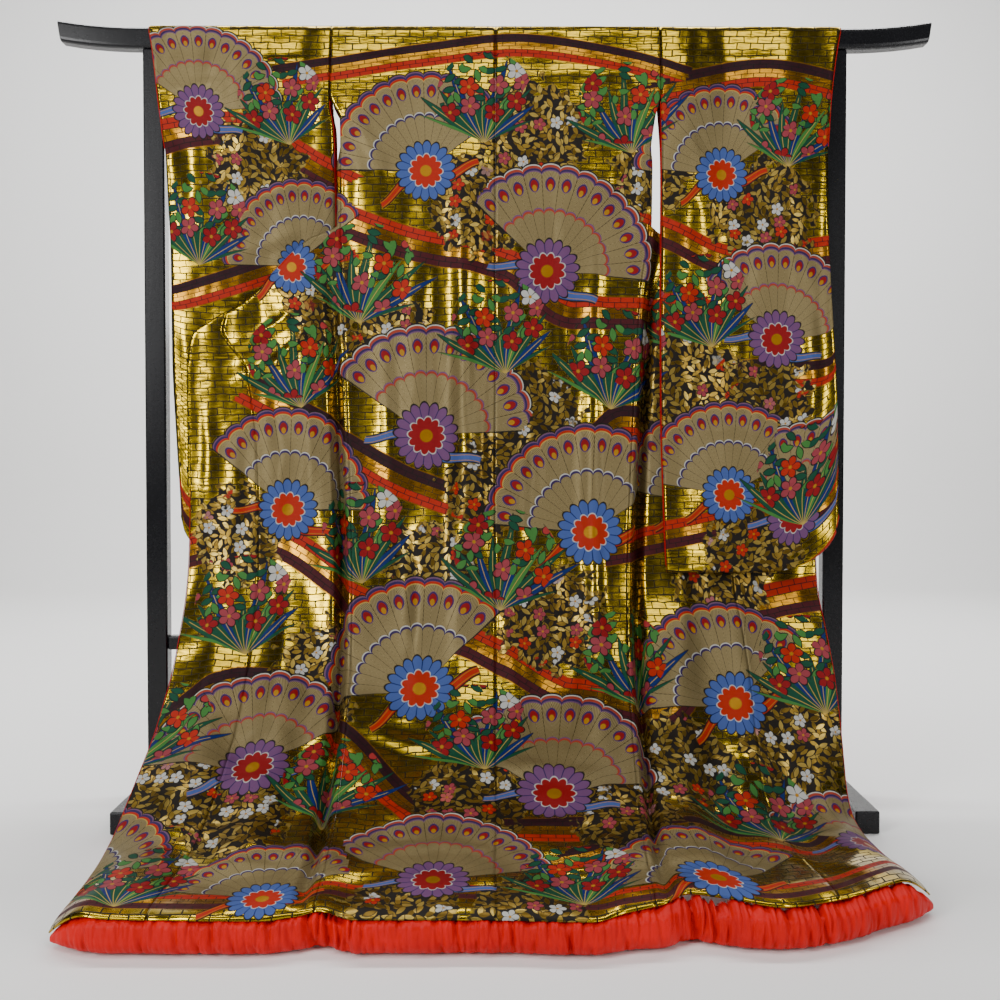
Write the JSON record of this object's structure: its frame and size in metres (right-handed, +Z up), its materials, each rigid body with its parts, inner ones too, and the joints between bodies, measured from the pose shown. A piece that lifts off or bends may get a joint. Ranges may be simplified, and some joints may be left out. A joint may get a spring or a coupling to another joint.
{
  "type": "uchikake wedding kimono on a lacquered kimono stand",
  "caption": "Wedding over-kimono in gold brocade with a padded vermilion hem roll, hung by its sleeves with its back outwards on a black lacquered stand.",
  "frame": {"origin": "on the floor, under the middle of the outline of garment and stand", "axes": "+Z up, +X along the bar of the stand, -Y the way the back of the garment faces and its hem is swept"},
  "size_m": [1.666, 0.9154, 1.491],
  "materials": {
    "brocade": "gold lame brocade, metallic sheen",
    "hem_silk": "vermilion silk, soft sheen",
    "lacquer": "gloss black lacquer"
  },
  "bodies": {
    "root": {"back_left": "brocade", "back_right": "brocade", "front_left": "brocade", "front_right": "brocade", "okumi_left": "brocade", "okumi_right": "brocade", "sleeve_left": "brocade", "sleeve_right": "brocade", "collar_neck": "brocade", "collar_left": "brocade", "collar_right": "brocade", "hem_roll": "hem_silk", "stand_bar": "lacquer", "stand_post_left": "lacquer", "stand_post_right": "lacquer", "stand_foot_left": "lacquer", "stand_foot_right": "lacquer", "stand_rail": "lacquer"}
  },
  "joints": []
}
